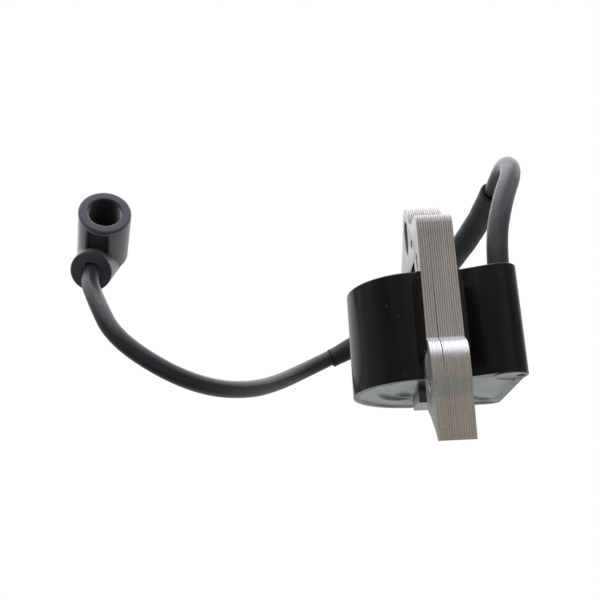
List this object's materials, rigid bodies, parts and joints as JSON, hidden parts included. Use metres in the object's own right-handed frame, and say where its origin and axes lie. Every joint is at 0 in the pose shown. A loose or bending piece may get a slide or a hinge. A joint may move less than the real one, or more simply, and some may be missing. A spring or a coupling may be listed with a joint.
{
  "type": "ignition coil",
  "caption": "Small-engine ignition coil: riveted laminated two-leg core, potted D-shaped cup of windings, and a high-tension lead with a sleeve and a rubber spark-plug boot",
  "frame": {"origin": "Centre of the ear's mounting slot, in the middle of the stack of plates", "axes": "+X across the stack of plates, towards the lead column's side; +Y from the bare near leg towards the potted far leg; +Z from the pole faces towards the ear, up when the coil hangs from its ear"},
  "size_m": [0.1258, 0.1094, 0.0885],
  "materials": {
    "core_steel": "sheared silicon-steel sheet, satin, edges brownish grey",
    "rivet_steel": "dull steel",
    "cup_plastic": "black glass-filled nylon, glossy, light scratches",
    "potting_epoxy": "black potting epoxy, glossy with a meniscus",
    "bobbin_plastic": "moulded nylon",
    "copper_wire": "enamelled copper",
    "board": "glass-epoxy board",
    "component_black": "moulded component body",
    "component_tan": "lacquered component body",
    "brass": "plain brass",
    "lead_rubber": "charcoal silicone-rubber insulation, satin",
    "sleeve_rubber": "charcoal woven-over rubber sleeving, matte",
    "boot_rubber": "moulded charcoal rubber, soft satin",
    "spring_steel": "plated spring wire"
  },
  "bodies": {
    "coil": {"core_laminations": "core_steel", "core_rivets": "rivet_steel", "coil_cup": "cup_plastic", "potting": "potting_epoxy", "primary_bobbin": "bobbin_plastic", "primary_winding": "copper_wire", "trigger_winding": "copper_wire", "secondary_bobbin": "bobbin_plastic", "secondary_winding": "copper_wire", "circuit_board": "board", "power_transistor": "component_black", "driver_transistor": "component_black", "timing_capacitor": "component_tan", "resistors": "component_tan", "flyback_diode": "component_black", "ground_strap": "brass", "hookup_wires": "copper_wire", "tower_pin": "brass", "output_link": "copper_wire", "ht_lead": "lead_rubber", "ht_lead_conductor": "copper_wire", "lead_sleeve": "sleeve_rubber", "terminal_pin": "brass"},
    "boot": {"plug_boot": "boot_rubber", "terminal_spring": "spring_steel"}
  },
  "joints": [
    {"name": "boot_swivel", "type": "hinge", "parent": "coil", "child": "boot", "pos_m": [-0.09128, 0.06075, 0.02317], "axis": [-0.0359, -0.7908, -0.6111], "range_deg": [-90, 90]}
  ]
}
